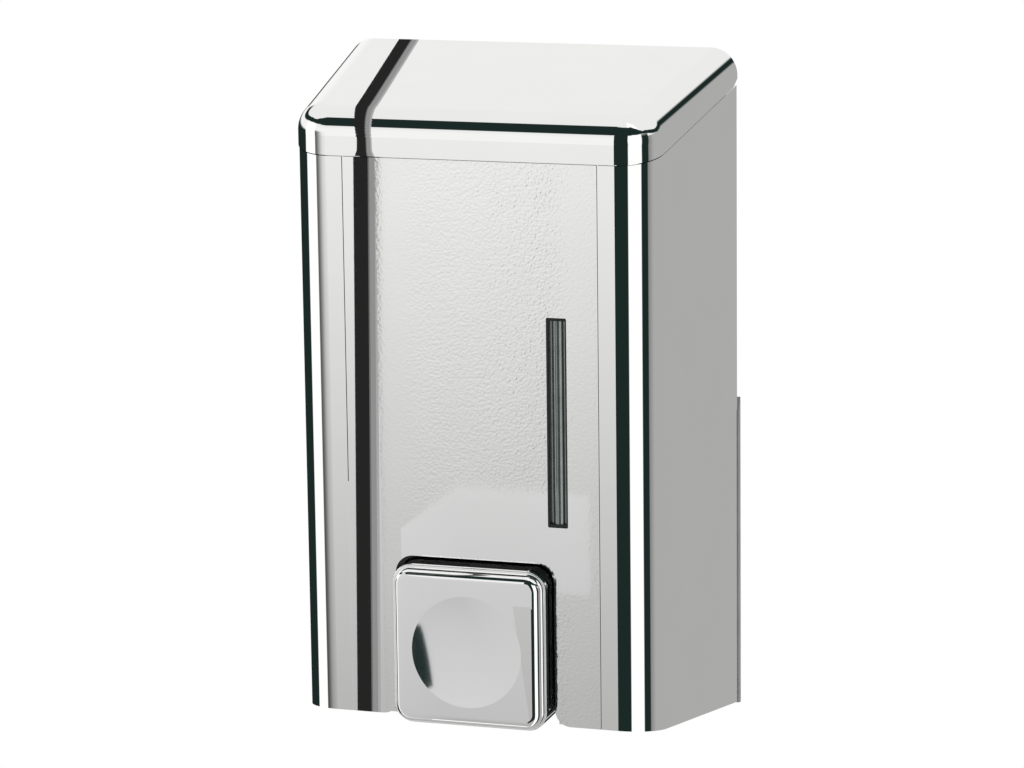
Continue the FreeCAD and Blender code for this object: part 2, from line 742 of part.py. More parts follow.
def pump_body():
    body = lengthwise(PUMP_RADIUS, pump_front_y(), pump_rear_y(), BUTTON_Z)
    body = body.fuse(upright(INLET_RADIUS, BUTTON_Z, washer_z(), port_y()))
    body = body.fuse(upright(NECK_RADIUS, inlet_flange_z(), washer_z(), port_y()))
    body = body.fuse(upright(OUTLET_RADIUS, outlet_end_z(), BUTTON_Z, port_y()))
    body = body.cut(lengthwise(PUMP_BORE, pump_front_y() - 1, pump_rear_y() + 1, BUTTON_Z))
    body = body.cut(upright(PORT_RADIUS, BUTTON_Z, washer_z() + 1, port_y()))
    chamber_top = BUTTON_Z + PUMP_RADIUS
    body = body.cut(upright(INLET_SHOULDER_BORE, chamber_top - 1, washer_z() + 1, port_y()))
    body = body.cut(upright(INLET_BORE, seat_disc_z(), washer_z() + 1, port_y()))
    body = body.cut(upright(VALVE_SEAT_RADIUS, outlet_end_z() - 1, BUTTON_Z, port_y()))
    body = body.cut(upright(VALVE_BORE, outlet_end_z() - 1, valve_seat_z(), port_y()))
    return body.removeSplitter()


def rod_gland():
    front = pump_front_y()
    gland = lengthwise(PUMP_BORE - RUNNING_GAP, front, front + GLAND_LENGTH, BUTTON_Z)
    collar = lengthwise(PUMP_BORE + GLAND_COLLAR_WALL, front - GLAND_COLLAR, front, BUTTON_Z)
    gland = gland.fuse(collar)
    return gland.cut(lengthwise(ROD_RADIUS + RUNNING_GAP, -FAR, FAR, BUTTON_Z)).removeSplitter()


def head_front_y():
    return pump_front_y() + GLAND_LENGTH + HEAD_START_GAP


def seal_y():
    return head_front_y() + HEAD_LENGTH / 2


def carrier_plate_y():
    """The rear face of the carrier's plate, where the return spring bears."""
    return COVER_INNER_FRONT + CARRIER_SETBACK


def piston_rod():
    start = carrier_plate_y() - CARRIER_PLATE
    shaft = lengthwise(ROD_RADIUS, start, head_front_y() + 1, BUTTON_Z)
    head = lengthwise(PUMP_BORE - HEAD_GAP, head_front_y(), head_front_y() + HEAD_LENGTH, BUTTON_Z)
    reach = SEAL_RADIUS + SEAL_END_GAP
    groove = lengthwise(PUMP_BORE, seal_y() - reach, seal_y() + reach, BUTTON_Z)
    core = PUMP_BORE - RUNNING_GAP - 2 * SEAL_RADIUS - RUNNING_GAP
    groove = groove.cut(lengthwise(core, -FAR, FAR, BUTTON_Z))
    return head.cut(groove).fuse(shaft).removeSplitter()


def piston_seal():
    ring_radius = PUMP_BORE - RUNNING_GAP - SEAL_RADIUS
    return Part.makeTorus(ring_radius, SEAL_RADIUS, Vector(0, seal_y(), BUTTON_Z), Vector(0, 1, 0))


def inlet_seat():
    disc = upright(INLET_BORE - RUNNING_GAP, seat_disc_z(), washer_z() - SEAT_TOP_GAP, port_y())
    disc = disc.cut(upright(UMBRELLA_STEM + STEM_GAP, -FAR, FAR, port_y()))
    ring = (UMBRELLA_RADIUS + UMBRELLA_STEM) / 2
    for i in range(SEAT_HOLES):
        angle = 2 * math.pi * i / SEAT_HOLES
        disc = disc.cut(upright(SEAT_HOLE_RADIUS, -FAR, FAR, port_y() + ring * math.sin(angle),
                                ring * math.cos(angle)))
    return disc


def inlet_valve():
    low = seat_disc_z() - UMBRELLA_THICKNESS
    flap = upright(UMBRELLA_RADIUS, low, seat_disc_z(), port_y())
    stem = upright(UMBRELLA_STEM, low, washer_z() + UMBRELLA_KNOB_RISE, port_y())
    knob = Part.makeSphere(UMBRELLA_STEM * 1.5, Vector(0, port_y(), washer_z() + UMBRELLA_KNOB_RISE))
    return flap.fuse(stem).fuse(knob).removeSplitter()


def pump_plug():
    front = pump_plug_front_y()
    rear = pump_rear_y()
    plug = lengthwise(PUMP_BORE - RUNNING_GAP, front, rear, BUTTON_Z)
    flange = PUMP_BORE + PLUG_FLANGE_WALL
    plug = plug.fuse(lengthwise(flange, rear, rear + PLUG_FLANGE, BUTTON_Z))
    middle = (front + rear) / 2
    reach = SEAL_RADIUS + SEAL_END_GAP
    groove = lengthwise(PUMP_BORE + 1, middle - reach, middle + reach, BUTTON_Z)
    core = PUMP_BORE - 2 * RUNNING_GAP - 2 * SEAL_RADIUS
    plug = plug.cut(groove.cut(lengthwise(core, -FAR, FAR, BUTTON_Z)))
    slot = box(-flange, flange, rear + PLUG_FLANGE - SLOT_DEPTH,
               rear + PLUG_FLANGE + 1, BUTTON_Z - SLOT_WIDTH, BUTTON_Z + SLOT_WIDTH)
    return plug.cut(slot).removeSplitter()


def plug_seal():
    middle = (pump_plug_front_y() + pump_rear_y()) / 2
    ring_radius = PUMP_BORE - RUNNING_GAP - SEAL_RADIUS
    return Part.makeTorus(ring_radius, SEAL_RADIUS, Vector(0, middle, BUTTON_Z), Vector(0, 1, 0))


def ball_centre_z():
    contact = math.sqrt(BALL_RADIUS ** 2 - VALVE_SEAT_RADIUS ** 2)
    return valve_seat_z() - contact - BALL_GAP


def outlet_ball():
    return Part.makeSphere(BALL_RADIUS, Vector(0, port_y(), ball_centre_z()))


def outlet_spring():
    top = ball_centre_z() - BALL_RADIUS + VALVE_SPRING_WIRE
    low = outlet_end_z() + SPRING_SEAT_GAP
    start = Vector(0, port_y(), low)
    return spring(start, Vector(0, 0, 1), top - low, VALVE_SPRING_RADIUS, VALVE_SPRING_WIRE,
                  VALVE_SPRING_TURNS)


def nozzle():
    end = outlet_end_z()
    outer = OUTLET_RADIUS + RUNNING_GAP + NOZZLE_WALL
    body = upright(outer, end - NOZZLE_FLOOR, end + NOZZLE_COLLAR, port_y())
    body = body.fuse(cone(Vector(0, port_y(), end - NOZZLE_FLOOR), Vector(0, 0, -1),
                          NOZZLE_SPOUT_RADIUS, NOZZLE_TIP_RADIUS, NOZZLE_SPOUT))
    body = body.cut(upright(OUTLET_RADIUS + RUNNING_GAP, end, end + NOZZLE_COLLAR + 1, port_y()))
    body = body.cut(upright(NOZZLE_BORE, end - NOZZLE_FLOOR - NOZZLE_SPOUT - 1, end + 1, port_y()))
    return body.removeSplitter()


def return_spring():
    front = carrier_plate_y() + SPRING_SEAT_GAP
    rear = pump_front_y() - SPRING_SEAT_GAP
    radius = PUMP_BORE + GLAND_COLLAR_WALL + SPRING_SIDE_GAP + SPRING_WIRE
    start = Vector(0, front, BUTTON_Z)
    return spring(start, Vector(0, 1, 0), rear - front, radius, SPRING_WIRE, SPRING_TURNS)


def cap_front_y():
    return -DEPTH - CAP_PROUD


def button_cap():
    front = cap_front_y()
    tier_y = front + CAP_STEP
    rear = tier_y + CAP_DEPTH
    wide = 2 * CAP_HALF_WIDTH
    tall = 2 * CAP_HALF_HEIGHT
    face = rounded_plate(CAP_WIDTH, CAP_TALL, front, tier_y + 1, BUTTON_Z, CAP_CORNER)
    rim = [e for e in face.Edges if all(abs(v.Y - front) < SAME for v in e.Vertexes)]
    face = face.makeFillet(CAP_FRONT_FILLET, rim)
    tier = rounded_plate(wide, tall, tier_y, rear, BUTTON_Z, CAP_CORNER + CAP_LEDGE)
    front_rim = [e for e in tier.Edges if all(abs(v.Y - tier_y) < SAME for v in e.Vertexes)]
    tier = tier.makeFillet(EDGE_BREAK, front_rim)
    cavity = rounded_plate(wide - 2 * CAP_WALL, tall - 2 * CAP_WALL, front + cap_front_thickness(),
                           rear + 1, BUTTON_Z, CAP_CORNER + CAP_LEDGE - CAP_WALL)
    cap = face.fuse(tier).cut(cavity)
    ball = (DIMPLE_RADIUS ** 2 + DIMPLE_DEPTH ** 2) / (2 * DIMPLE_DEPTH)
    centre = Vector(0, front + DIMPLE_DEPTH - ball, BUTTON_Z - DIMPLE_DROP)
    return cap.cut(Part.makeSphere(ball, centre)).removeSplitter()


def cap_front_thickness():
    return DIMPLE_DEPTH + CAP_FRONT_WALL


def button_carrier():
    """The moulding inside the cap: a plug that fills it, cross ribs and the rod's boss."""
    front = cap_front_y() + cap_front_thickness()
    rear = carrier_plate_y()
    wide = 2 * (CAP_HALF_WIDTH - CAP_WALL - CARRIER_GAP)
    tall = 2 * (CAP_HALF_HEIGHT - CAP_WALL - CARRIER_GAP)
    corner = CAP_CORNER + CAP_LEDGE - CAP_WALL
    plug = rounded_plate(wide, tall, front, rear, BUTTON_Z, corner)
    hollow = rounded_plate(wide - 2 * CAP_WALL, tall - 2 * CAP_WALL, front - 1, rear - CARRIER_PLATE,
                           BUTTON_Z, corner - CAP_WALL / 2)
    boss = lengthwise(CARRIER_BOSS_RADIUS, front, rear + CARRIER_BOSS_LENGTH, BUTTON_Z)
    carrier = plug.cut(hollow).fuse(boss)
    for turn in range(2):
        size = (wide / 2, CAP_WALL / 2) if turn == 0 else (CAP_WALL / 2, tall / 2)
        rib = box(-size[0], size[0], front, rear, BUTTON_Z - size[1], BUTTON_Z + size[1])
        carrier = carrier.fuse(rib)
    socket = lengthwise(ROD_RADIUS + CARRIER_GAP, rear - CARRIER_PLATE, FAR, BUTTON_Z)
    return carrier.cut(socket).removeSplitter()


def guide_inner_half():
    return CAP_HALF_WIDTH + GUIDE_GAP


def button_guide():
    """An arch behind the notch that the cap slides in, with feet against the cover."""
    half = guide_inner_half()
    outer = half + GUIDE_WALL
    y0 = COVER_INNER_FRONT
    y1 = y0 + GUIDE_DEPTH
    tall = CAP_HALF_HEIGHT + GUIDE_GAP
    low = bottom_z(y0, COVER_INSIDE) + GUIDE_GAP
    top = BUTTON_Z + tall
    arch = box(-outer, outer, y0, y1, low, top + GUIDE_WALL)
    foot = box(-outer - GUIDE_FOOT, outer + GUIDE_FOOT, y0, y0 + GUIDE_WALL, low,
               top + GUIDE_WALL + GUIDE_FOOT)
    passage = rounded_plate(2 * half, 2 * (top - BUTTON_Z), y0 - 1, y1 + 1, BUTTON_Z,
                            CAP_CORNER + CAP_LEDGE + GUIDE_GAP)
    passage = passage.fuse(box(-half, half, y0 - 1, y1 + 1, low - 1, BUTTON_Z))
    return arch.fuse(foot).cut(passage).removeSplitter()


def bracket_screw_xs():
    return [side * BRACKET_SCREW_X for side in (-1, 1)]


def pump_bracket():
    rear = -PLATE_THICKNESS
    front = rear - BRACKET_THICKNESS
    bracket = rounded_plate(BRACKET_WIDTH, BRACKET_HEIGHT, front, rear, BUTTON_Z, BRACKET_CORNER)
    socket = PUMP_RADIUS + RUNNING_GAP
    mouth = pump_rear_y() - BRACKET_GRIP
    bracket = bracket.fuse(lengthwise(socket + BRACKET_WALL, mouth, rear, BUTTON_Z))
    bracket = bracket.cut(lengthwise(socket, mouth - 1, pump_rear_y(), BUTTON_Z))
    bracket = bracket.cut(lengthwise(PUMP_BORE + PLUG_FLANGE_WALL + BRACKET_STEP, pump_rear_y() - 1,
                                     front, BUTTON_Z))
    for x in bracket_screw_xs():
        bracket = bracket.cut(lengthwise(SMALL_SCREW_HOLE, -FAR, FAR, BUTTON_Z, x))
    return bracket.removeSplitter()


def bracket_screws():
    seat_y = -PLATE_THICKNESS - BRACKET_THICKNESS
    length = BRACKET_THICKNESS + PLATE_THICKNESS - 0.5
    screws = [screw(Vector(x, seat_y, BUTTON_Z), Vector(0, 1, 0), length) for x in bracket_screw_xs()]
    return Part.makeCompound(screws)


def cover_screws():
    screws = [screw(seat, Vector(0, 0, 1), COVER_SCREW_LENGTH) for seat in cover_screw_seats()]
    return Part.makeCompound(screws)


PIECES = {
    "wall_plate": wall_plate,
    "front_cover": front_cover,
    "window_lens": window_lens,
    "cover_screws": cover_screws,
    "lid": lid,
    "lid_hinge_pins": hinge_pins,
    "tank": tank,
    "outlet_washer": outlet_washer,
    "union_nut": union_nut,
    "pump_body": pump_body,
    "rod_gland": rod_gland,
    "piston_rod": piston_rod,
    "piston_seal": piston_seal,
    "pump_plug": pump_plug,
    "plug_seal": plug_seal,
    "inlet_seat": inlet_seat,
    "inlet_valve": inlet_valve,
    "outlet_ball": outlet_ball,
    "outlet_spring": outlet_spring,
    "nozzle": nozzle,
    "return_spring": return_spring,
    "button_cap": button_cap,
    "button_carrier": button_carrier,
    "button_guide": button_guide,
    "pump_bracket": pump_bracket,
    "bracket_screws": bracket_screws,
}

os.makedirs("parts", exist_ok=True)
for name, build in PIECES.items():
    shape = build()
    shape.exportStep("parts/" + name + ".step")
    print(name, len(shape.Solids), shape.isValid())
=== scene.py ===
import json
import math

import bmesh
import bpy
from mathutils import Matrix, Vector


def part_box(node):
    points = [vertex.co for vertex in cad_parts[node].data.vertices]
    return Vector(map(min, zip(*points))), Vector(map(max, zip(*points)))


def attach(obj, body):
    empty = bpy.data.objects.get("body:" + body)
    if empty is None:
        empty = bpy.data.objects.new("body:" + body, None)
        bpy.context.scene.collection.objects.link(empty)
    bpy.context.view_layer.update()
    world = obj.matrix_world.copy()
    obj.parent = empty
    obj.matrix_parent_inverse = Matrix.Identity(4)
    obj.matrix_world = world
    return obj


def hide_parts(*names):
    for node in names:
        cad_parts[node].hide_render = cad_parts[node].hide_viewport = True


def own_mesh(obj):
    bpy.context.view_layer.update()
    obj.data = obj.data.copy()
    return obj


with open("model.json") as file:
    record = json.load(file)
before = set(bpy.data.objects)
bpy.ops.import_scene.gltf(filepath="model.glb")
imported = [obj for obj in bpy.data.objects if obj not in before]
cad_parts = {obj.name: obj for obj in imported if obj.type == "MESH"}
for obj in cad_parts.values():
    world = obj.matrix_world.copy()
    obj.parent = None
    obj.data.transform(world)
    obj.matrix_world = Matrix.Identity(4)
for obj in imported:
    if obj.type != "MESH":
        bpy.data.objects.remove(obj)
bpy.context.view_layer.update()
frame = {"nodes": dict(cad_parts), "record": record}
nodes = frame["nodes"]

MM = 0.001
PLATING_TONE = 0.93
PLATING_ROUGHNESS = 0.012
DARK_FRAME_SLOT = "dark_plastic"
SPRING_SLOT = "spring_steel"


# ---------------------------------------------------------------- shader helpers
class Graph:
    """A node tree with short calls for the arithmetic that its materials share."""

    def __init__(self, tree):
        self.tree = tree

    def node(self, kind, **settings):
        made = self.tree.nodes.new(kind)
        for key, value in settings.items():
            setattr(made, key, value)
        return made

    def feed(self, socket, value):
        if hasattr(value, "is_output") or hasattr(value, "links"):
            self.tree.links.new(value, socket)
        else:
            socket.default_value = value

    def math(self, operation, *values):
        made = self.node("ShaderNodeMath", operation=operation)
        for socket, value in zip(made.inputs, values):
            self.feed(socket, value)
        return made.outputs[0]

    def step(self, value, low, high, to_low=0.0, to_high=1.0):
        """A smooth step of value from low to high."""
        made = self.node("ShaderNodeMapRange", interpolation_type="SMOOTHSTEP")
        for name, number in (("Value", value), ("From Min", low), ("From Max", high),
                             ("To Min", to_low), ("To Max", to_high)):
            self.feed(made.inputs[name], number)
        return made.outputs["Result"]

    def band(self, value, low, high, soft):
        """1 between low and high, with soft edges."""
        rise = self.step(value, low - soft, low + soft)
        fall = self.step(value, high - soft, high + soft, 1.0, 0.0)
        return self.math("MULTIPLY", rise, fall)

    def mix(self, factor, a, b):
        """Colour a where factor is 0, b where it is 1."""
        made = self.node("ShaderNodeMix", data_type="RGBA")
        self.feed(made.inputs["Factor"], factor)
        colours = [s for s in made.inputs if s.type == "RGBA"]
        self.feed(colours[0], a)
        self.feed(colours[1], b)
        return [s for s in made.outputs if s.type == "RGBA"][0]

    def noise(self, vector, scale, detail):
        made = self.node("ShaderNodeTexNoise")
        self.feed(made.inputs["Vector"], vector)
        made.inputs["Scale"].default_value = scale
        made.inputs["Detail"].default_value = detail
        return made.outputs[0]

    def axes(self, vector):
        parts = self.node("ShaderNodeSeparateXYZ")
        self.feed(parts.inputs[0], vector)
        return parts.outputs


def grey(value):
    """An opaque neutral colour."""
    return (value, value, value, 1.0)


# ---------------------------------------------------------------- studio surround
def blend_over(g, under, mask, tone):
    """tone laid over under where mask is 1."""
    kept = g.math("MULTIPLY", under, g.math("SUBTRACT", 1.0, mask))
    return g.math("ADD", kept, g.math("MULTIPLY", mask, tone))


def studio():
    """A light tent seen only in reflections: white walls with grey and dark gaps between them."""
    world = bpy.data.worlds.new("studio")
    bpy.context.scene.world = world
    world.use_nodes = True
    world.node_tree.nodes.clear()
    g = Graph(world.node_tree)
    x, y, z = g.axes(g.node("ShaderNodeTexCoord").outputs["Generated"])
    # turn is 0 straight in front and grows to the right, rise is 0 level; both in degrees
    degrees = 180 / math.pi
    turn = g.math("MULTIPLY", g.math("ARCTAN2", x, g.math("MULTIPLY", y, -1.0)), degrees)
    rise = g.math("MULTIPLY", g.math("ARCSINE", z), degrees)
    away = g.math("ABSOLUTE", turn)
    below_roof = g.step(rise, 20.0, 40.0, 1.0, 0.0)
    near_level = g.step(rise, 2.0, 10.0, 1.0, 0.0)

    low_wall, high_wall, roof_change = 0.455, 0.973, -0.08
    tone = g.step(rise, -19.0, -5.0, low_wall, high_wall)
    tone = g.math("ADD", tone, g.step(rise, 15.0, 30.0, 0.0, roof_change))

    side_wall = g.math("MULTIPLY", g.band(turn, 80.0, 158.0, 3.0), g.step(rise, 17.0, 20.0, 1.0, 0.0))
    tone = blend_over(g, tone, side_wall, g.step(turn, 80.0, 104.0, 0.25, 0.43))

    lamp = 1.1
    right_lamp = g.band(turn, 22.0, 64.0, 1.0)
    left_lamp = g.math("MULTIPLY", g.band(turn, -90.0, -53.0, 1.5), below_roof)
    tone = blend_over(g, tone, g.math("MAXIMUM", right_lamp, left_lamp), lamp)

    fade = g.math("MULTIPLY", g.band(turn, -52.0, -16.0, 1.0), near_level)
    fade = g.math("MULTIPLY", fade, g.step(rise, -19.0, -17.0))
    tone = blend_over(g, tone, fade, g.math("MULTIPLY", tone, g.step(turn, -52.0, -22.0, 0.12, 1.0)))

    front_gap = g.math("MULTIPLY", g.band(turn, -15.0, 23.0, 1.2), g.band(rise, -34.0, 36.0, 4.0))
    right_gap = g.math("MULTIPLY", g.band(turn, 61.5, 82.5, 1.5), below_roof)
    left_gap = g.math("MULTIPLY", g.band(turn, -158.0, -88.0, 1.5), g.band(rise, -40.0, 3.0, 3.0))
    roof_top = g.math("ADD", g.step(away, 35.0, 78.0, 66.0, 40.0), g.step(away, 78.0, 125.0, 0.0, -13.0))
    roof_foot = g.step(away, 60.0, 125.0, 30.5, 17.0)
    roof_gap = g.math("MULTIPLY", g.step(g.math("SUBTRACT", roof_top, rise), -1.0, 1.0),
                      g.step(g.math("SUBTRACT", rise, roof_foot), -1.0, 1.0))
    roof_gap = g.math("MULTIPLY", roof_gap, g.step(away, 138.0, 145.0, 1.0, 0.0))
    rear_gap = g.math("MULTIPLY", g.band(rise, -40.0, 14.0, 2.0), g.step(turn, -152.0, -158.0))
    rear_right_gap = g.math("MULTIPLY", g.band(rise, 17.0, 27.0, 2.0), g.step(turn, 120.0, 130.0))
    dark = front_gap
    for gap in (right_gap, left_gap, roof_gap, rear_gap, rear_right_gap):
        dark = g.math("MAXIMUM", dark, gap)

    wall_tint, gap_colour = (1.0, 1.0, 0.987), (0.012, 0.024, 0.022, 1.0)
    colour = g.node("ShaderNodeCombineColor")
    for socket, tint in zip(colour.inputs, wall_tint):
        g.feed(socket, g.math("MULTIPLY", tone, tint))
    colour = g.mix(dark, colour.outputs[0], gap_colour)

    seen = g.node("ShaderNodeLightPath").outputs["Is Camera Ray"]
    colour = g.mix(seen, colour, grey(1.0))
    surface = g.node("ShaderNodeBackground")
    g.feed(surface.inputs["Color"], colour)
    surface.inputs["Strength"].default_value = 1.0
    output = g.node("ShaderNodeOutputWorld")
    g.feed(output.inputs["Surface"], surface.outputs[0])


# ---------------------------------------------------------------- materials
def material(name, metallic, roughness):
    made = bpy.data.materials.new(name)
    made.use_nodes = True
    g = Graph(made.node_tree)
    shader = made.node_tree.nodes["Principled BSDF"]
    shader.inputs["Metallic"].default_value = metallic
    shader.inputs["Roughness"].default_value = roughness
    where = g.node("ShaderNodeTexCoord").outputs["Object"]
    return made, g, shader, where


def chrome(name):
    """Bright plating, faintly clouded as on a moulded, plated shell."""
    made, g, shader, where = material(name, 1.0, PLATING_ROUGHNESS)
    duller = PLATING_TONE * 0.99
    cloud = g.step(g.noise(where, 60.0, 3.0), 0.35, 0.7)
    g.feed(shader.inputs["Base Color"],
           g.mix(cloud, (duller, duller, PLATING_TONE * 0.985, 1), grey(PLATING_TONE)))
    smear = g.noise(where, 140.0, 4.0)
    g.feed(shader.inputs["Roughness"], g.step(smear, 0.3, 0.75, 0.008, 0.016))
    return made, g, shader, where


def raise_surface(g, shader, height, strength, distance):
    bump = g.node("ShaderNodeBump")
    g.feed(bump.inputs["Strength"], strength)
    bump.inputs["Distance"].default_value = distance
    g.feed(bump.inputs["Height"], height)
    g.feed(shader.inputs["Normal"], bump.outputs[0])


def plastic(name, colour, roughness):
    """Moulded plastic or rubber with faint clouds and a fine matt skin."""
    made, g, shader, where = material(name, 0.0, roughness)
    spread, darker, skin_depth = 0.06, 0.9, 0.0001
    cloud = g.step(g.noise(where, 90.0, 4.0), 0.3, 0.7)
    dark = tuple(c * darker for c in colour)
    g.feed(shader.inputs["Base Color"], g.mix(cloud, (*dark, 1), (*colour, 1)))
    smear = g.noise(where, 400.0, 3.0)
    g.feed(shader.inputs["Roughness"], g.step(smear, 0.3, 0.7, roughness - spread, roughness + spread))
    raise_surface(g, shader, g.noise(where, 2500.0, 2.0), 0.12, skin_depth)
    return made


def dress(name, made):
    slots = nodes[name].data.materials
    slots.clear()
    slots.append(made)


# ---------------------------------------------------------------- camera and floor
def camera():
    """The view from the front right and a little above."""
    turn, tilt, roll = math.radians(17.85), math.radians(11.78), math.radians(-0.73)
    distance, lens = 1.1385, 145.97
    origin = Vector((0.00064, -0.0336, 0.00155))
    back = Vector((math.sin(turn) * math.cos(tilt), -math.cos(turn) * math.cos(tilt), math.sin(tilt)))
    data = bpy.data.cameras.new("camera")
    data.lens = lens
    data.sensor_width = 36.0
    data.clip_end = 20.0
    made = bpy.data.objects.new("camera", data)
    bpy.context.scene.collection.objects.link(made)
    right = Vector((math.cos(turn), math.sin(turn), 0.0))
    up = back.cross(right)
    c, s = math.cos(roll), math.sin(roll)
    across = right * c + up * s
    upward = up * c - right * s
    axes = Matrix((across, upward, back)).transposed()
    made.matrix_world = Matrix.Translation(origin + back * distance) @ axes.to_4x4()
    bpy.context.scene.camera = made
    return made.matrix_world.translation.copy()


def glowing(name, tone):
    """A glow of one colour, or from a dim height to a bright one when tone gives two (height, glow)."""
    made = bpy.data.materials.new(name)
    made.use_nodes = True
    made.node_tree.nodes.clear()
    g = Graph(made.node_tree)
    glow = g.node("ShaderNodeEmission")
    if len(tone) == 2:
        (low, dim), (high, bright) = tone
        height = g.axes(g.node("ShaderNodeTexCoord").outputs["Object"])[2]
        ramp = g.node("ShaderNodeMapRange")
        for key, value in (("Value", height), ("From Min", MM * low), ("From Max", MM * high),
                           ("To Min", dim), ("To Max", bright)):
            g.feed(ramp.inputs[key], value)
        g.feed(glow.inputs["Strength"], ramp.outputs["Result"])
    else:
        glow.inputs["Color"].default_value = tone
    output = g.node("ShaderNodeOutputMaterial")
    g.feed(output.inputs["Surface"], glow.outputs[0])
    return made


def stage_panel(name, corners, tone, reflected):
    """A studio panel, or a strip of them through pairs of corners; a reflected one shows only in plating."""
    mesh = bpy.data.meshes.new(name)
    if len(corners) == 4:
        faces = [(0, 1, 2, 3)]
    else:
        faces = [(i, i + 1, i + 3, i + 2) for i in range(0, len(corners) - 2, 2)]
    mesh.from_pydata(corners, [], faces)
    mesh.materials.append(glowing(name, tone))
    made = bpy.data.objects.new(name, mesh)
    bpy.context.scene.collection.objects.link(made)
    made.visible_camera = not reflected
    made.visible_glossy = reflected
    made.visible_diffuse = False
    made.visible_shadow = False
    made.visible_transmission = False


def stripe_path():
    """(x, y, z, normal, width) along the line where the stripe crosses the front, the edge and the lid."""
    front_y, top_wall, slope, radius = -66.75, 92.0, 12.0 / 67.0, 7.5
    foot_x, lean, edge_x, edge_drift = -33.14, 0.013, -32.2, 1.5
    lid_x, lid_y, lid_lean, lid_width = -33.7, 60.0, 0.14, 0.88
    neck, widening, steps = 0.62, 0.26, 14
    forward = (0, -1, 0)
    tilt = math.atan(slope)
    centre_y = front_y + radius
    centre_z = top_wall + slope * centre_y - radius / math.cos(tilt)
    path = []
    for z in (-110.0, -60.0, 0.0, 40.0, 66.0, 68.4):
        path.append((foot_x + lean * z, front_y, z, forward, 1.0))
    for z, width in ((68.5, 0.85), (70.0, 0.65), (72.0, neck)):
        path.append((edge_x, front_y, z, forward, width))
    for i in range(steps + 1):
        share = i / steps
        angle = share * (math.pi / 2 - tilt)
        normal = (0, -math.cos(angle), math.sin(angle))
        path.append((edge_x - edge_drift * share, centre_y + radius * normal[1],
                     centre_z + radius * normal[2], normal, neck + widening * share))
    for y in (-50.0, -30.0, -10.0, 6.0):
        path.append((lid_x - lid_lean * (y + lid_y), y, top_wall + slope * y, (0, -slope, 1), lid_width))
    return path


def stripe_panels(eye):
    """A dark upright edge of the tent with a grey shade beside it, mirrored behind the plating.

    The corners are mirrored from the camera's place, so the stripe is straight only from there.
    """
    shades = ((0.0, 4.1, 0.020), (4.1, 4.5, 0.17), (4.5, 6.0, 0.30), (6.0, 6.75, 0.42))
    reach, middle = 0.12, 3.2
    for i, (start, end, tone) in enumerate(shades):
        corners = []
        for x, y, z, normal, width in stripe_path():
            for offset in (start, end):
                place = MM * Vector((x + middle + (offset - middle) * width, y, z))
                facing = Vector(normal).normalized()
                ray = place - eye
                corners.append(place + reach * (ray - 2 * ray.dot(facing) * facing))
        stage_panel("stripe_%d" % i, corners, grey(tone), True)


def button_panels():
    """A bright corner close in front of the finger dimple, so that its dark gap stays at the left rim."""
    front, near, side, foot, turn, head = -125.0, -76.0, -24.0, -125.0, -64.0, -35.0
    foot_right, turn_right, top_right, dim, bright = 5.5, -3.0, 15.0, 0.50, 0.70
    faces = {
        "button_front": ((side, front, foot), (foot_right, front, foot), (turn_right, front, turn),
                         (side, front, turn)),
        "button_top": ((side, front, turn), (top_right, front, turn), (top_right, front, head),
                       (side, front, head)),
        "button_side": ((side, near, foot), (side, front, foot), (side, front, head), (side, near, head)),
    }
    for name, corners in faces.items():
        placed = [tuple(MM * value for value in corner) for corner in corners]
        stage_panel(name, placed, ((foot, dim), (head, bright)), True)


def floor():
    half, level = 6.0, -0.6
    corners = [(-half, -half, level), (half, -half, level), (half, half, level), (-half, half, level)]
    stage_panel("floor", corners, grey(1.0), False)


# ---------------------------------------------------------------- finishes
def cover_finish():
    """Plating with a fine leather grain moulded into the wide panel between the two lines."""
    made, g, shader, where = chrome("chromed_plastic")
    x, y = g.axes(where)[:2]
    panel = g.band(x, MM * -26.2, MM * 35.1, MM * 0.3)
    panel = g.math("MULTIPLY", panel, g.step(y, MM * -66.6, MM * -66.5, 1.0, 0.0))
    calm = g.step(x, MM * 20.0, MM * 30.0, 1.0, 0.35)
    calm = g.math("MULTIPLY", calm, g.step(x, MM * -24.0, MM * -10.0, 0.25, 1.0))
    grain_depth, satin = 0.000022, 0.045
    raise_surface(g, shader, g.noise(where, 1300.0, 2.0), g.math("MULTIPLY", panel, calm), grain_depth)
    rough = g.math("ADD", PLATING_ROUGHNESS, g.math("MULTIPLY", panel, satin))
    g.feed(shader.inputs["Roughness"], rough)
    return made


def lens_finish():
    """A dark, glossy lens, drawn opaque."""
    made, g, shader, where = material("dark_lens", 0.6, 0.06)
    cloud = g.noise(where, 300.0, 3.0)
    # the lens is drawn opaque in a dark colour, which gives the window its dark look
    g.feed(shader.inputs["Base Color"], g.mix(cloud, (0.20, 0.23, 0.22, 1), (0.34, 0.38, 0.37, 1)))
    shader.inputs["Coat Weight"].default_value = 0.6
    shader.inputs["Coat Roughness"].default_value = 0.02
    return made


